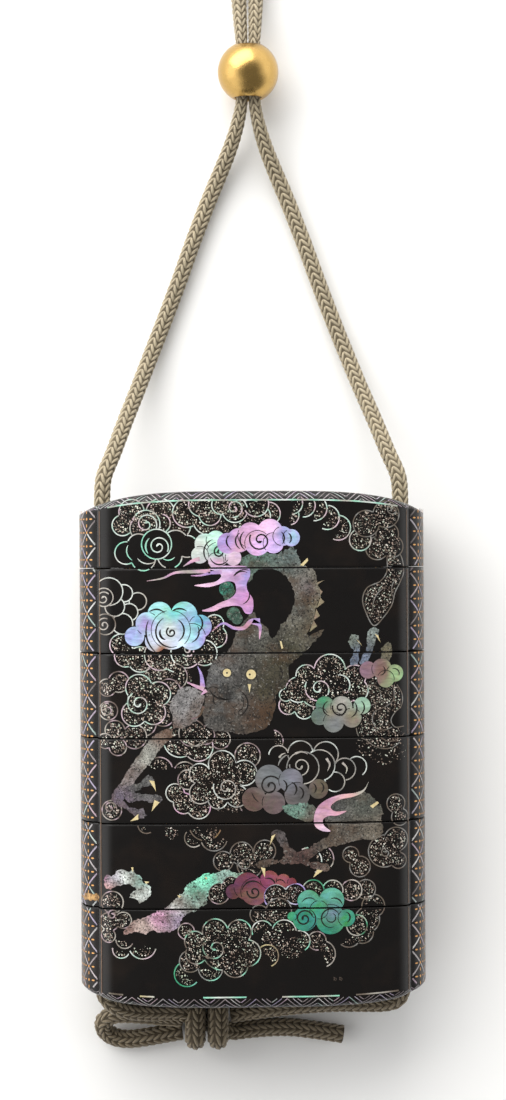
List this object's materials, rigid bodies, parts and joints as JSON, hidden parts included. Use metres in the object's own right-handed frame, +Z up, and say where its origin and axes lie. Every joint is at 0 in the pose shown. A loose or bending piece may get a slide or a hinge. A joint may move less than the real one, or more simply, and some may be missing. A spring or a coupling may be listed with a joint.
{
  "type": "inro case",
  "caption": "Flat tier of small lidded lacquer boxes that nest rim in box, strung at both ends on a silk cord with a sliding bead and a bow, for seals or medicines.",
  "frame": {"origin": "on the surface that the case lies on, under the middle of the boxes", "axes": "+X across the front panel to the right, +Y from the foot to the lid, +Z up from the back panel to the front panel"},
  "size_m": [0.0612, 0.2189, 0.023],
  "materials": {
    "lacquer": "polished black lacquer over wood, with inlaid shell",
    "gilt": "satin gilt metal",
    "silk": "braided silk, matt"
  },
  "bodies": {
    "root": {"lid": "lacquer", "case_1": "lacquer", "case_2": "lacquer", "case_3": "lacquer", "case_4": "lacquer", "base_case": "lacquer", "bead": "gilt", "cord_hanging_loop": "silk", "cord_channel_left": "silk", "cord_channel_right": "silk", "cord_foot_left": "silk", "cord_foot_right": "silk", "cord_knot": "silk", "cord_bow_loop": "silk", "cord_tail": "silk"}
  },
  "joints": []
}
